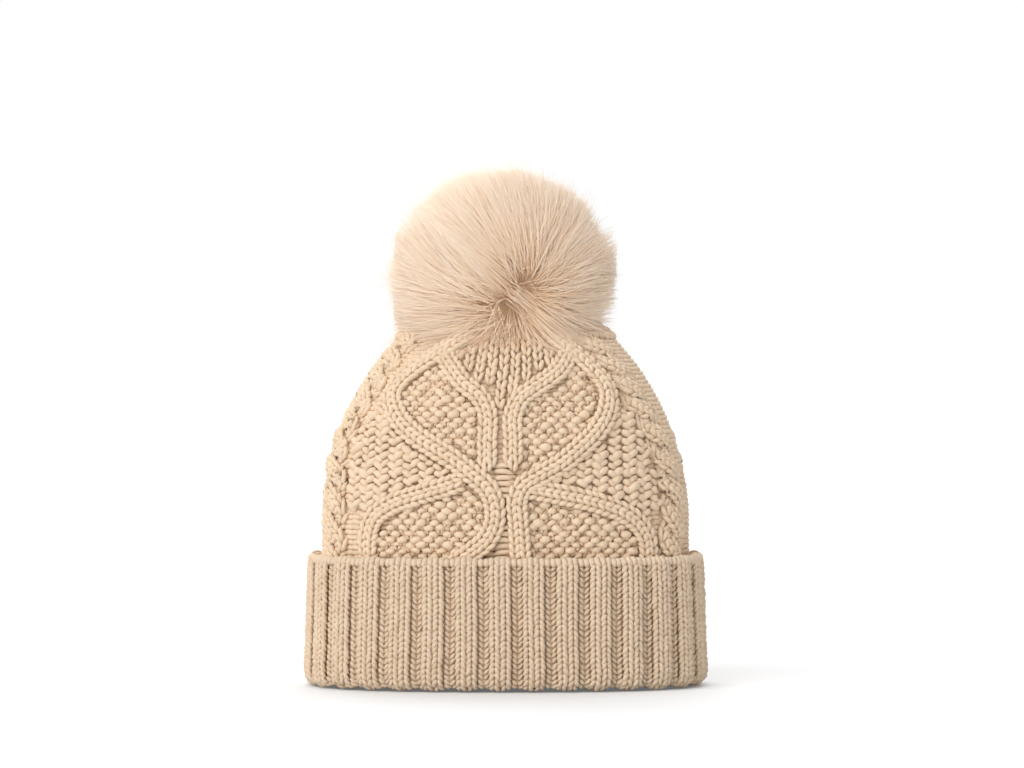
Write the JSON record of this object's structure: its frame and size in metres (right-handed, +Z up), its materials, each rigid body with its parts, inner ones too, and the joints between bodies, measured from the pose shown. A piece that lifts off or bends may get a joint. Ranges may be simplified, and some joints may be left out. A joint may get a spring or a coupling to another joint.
{
  "type": "pom pom beanie",
  "caption": "Cable-knit winter hat with a turned-up ribbed cuff, a fleece-lined band and a round faux-fur pom held on its top by a press stud.",
  "frame": {"origin": "centre of the cuff's rim, on the surface that the hat stands on", "axes": "+Z up through the pom, -Y out of the front with the cable pattern, +X to the right seen from the front"},
  "size_m": [0.231, 0.148, 0.297],
  "materials": {
    "yarn": "matt chunky wool-blend yarn in cream beige, cable knitted",
    "ribbing": "matt wool-blend yarn in cream beige, knitted as four-by-two rib",
    "fleece": "soft brushed polyester fleece",
    "thread": "plied sewing yarn that matches the knit",
    "felt": "pressed wool felt",
    "label": "blank woven satin ribbon",
    "nickel": "nickel-plated steel, softly polished",
    "board": "thin stiff moulded disc",
    "backing": "knitted backing cloth of the fur",
    "wadding": "loose polyester wadding",
    "fur": "long silky faux-fur pile in pale peach beige with paler tips"
  },
  "bodies": {
    "hat": {"cable_crown": "yarn", "rib_cuff": "ribbing", "inner_rib_band": "ribbing", "fleece_band": "fleece", "back_seam_cord": "thread", "care_label": "label", "cuff_tack_left": "thread", "cuff_tack_right": "thread"},
    "crown_tip": {"crown_gather_cord": "thread"},
    "snap_base": {"felt_washer": "felt", "snap_socket_cap": "nickel", "snap_socket": "nickel"},
    "snap_ring": {"snap_ring_spring": "nickel"},
    "pom": {"snap_stud": "nickel", "snap_stud_cap": "nickel", "pom_base_disc": "board", "pom_gather_thread": "thread", "pom_pelt": "backing", "pom_filling": "wadding", "pom_fur": "fur"}
  },
  "joints": [
    {"name": "pom_nod", "type": "hinge", "parent": "hat", "child": "crown_tip", "pos_m": [0, 0, 0.205], "axis": [1, 0, 0], "range_deg": [-10, 10], "stiffness_Nm_per_rad": 0.08},
    {"name": "pom_sway", "type": "hinge", "parent": "crown_tip", "child": "snap_base", "pos_m": [0, 0, 0.205], "axis": [0, 1, 0], "range_deg": [-10, 10], "stiffness_Nm_per_rad": 0.08},
    {"name": "pom_spin", "type": "hinge", "parent": "snap_base", "child": "snap_ring", "pos_m": [0, 0, 0.205], "axis": [0, 0, 1], "continuous": true},
    {"name": "pom_pull", "type": "slide", "parent": "snap_ring", "child": "pom", "axis": [0, 0, 1], "range_m": [0, 0.03]}
  ]
}
